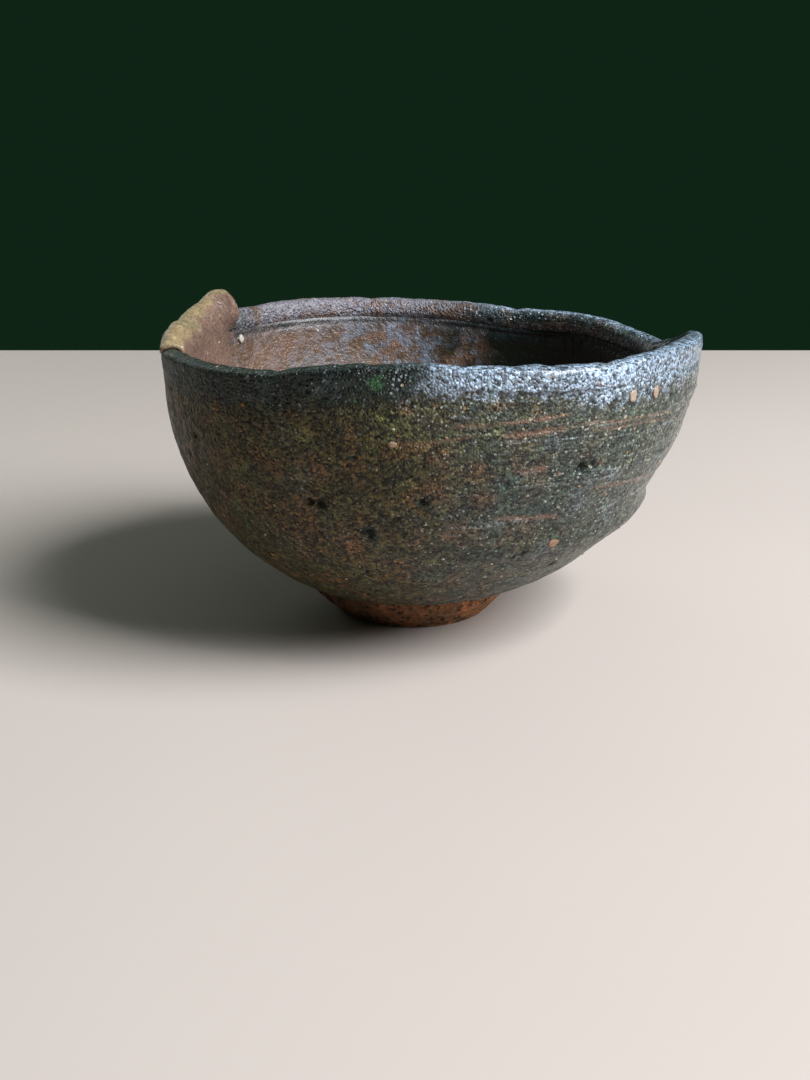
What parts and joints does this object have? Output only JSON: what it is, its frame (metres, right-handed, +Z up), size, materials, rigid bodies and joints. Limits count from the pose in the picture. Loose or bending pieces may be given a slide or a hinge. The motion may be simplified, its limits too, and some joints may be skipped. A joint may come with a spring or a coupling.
{
  "type": "matcha bowl",
  "caption": "Wide hand-formed stoneware tea bowl with a wavy banded rim, a folded lobe, a drawn-out point and a small turned foot ring.",
  "frame": {"origin": "on the resting plane, under the middle of the bowl's outline", "axes": "+X from the folded lobe's side to the rim's drawn-out point, +Y to the back where the lobe stands, +Z up out of the bowl's mouth"},
  "size_m": [0.1304, 0.1247, 0.0763],
  "materials": {
    "clay_wall": "coarse fired stoneware",
    "rim_glaze": "blue-black iron glaze, satin, sanded by grit",
    "ash_lobe": "ochre ash on the edge, pinkish brown below, satin",
    "bare_clay": "bare red-brown clay, matte and rough",
    "iron_glaze": "mottled brown and olive iron glaze, thin and gritty",
    "inside_glaze": "pinkish brown iron glaze, satin",
    "grit_stone": "pale feldspar and ochre stones, matte"
  },
  "bodies": {
    "root": {"bowl_body": "clay_wall", "rim_coil": "rim_glaze", "overlap_flap": "ash_lobe", "foot_ring": "bare_clay", "outer_glaze": "iron_glaze", "inner_glaze": "inside_glaze", "stone_grit": "grit_stone"}
  },
  "joints": []
}
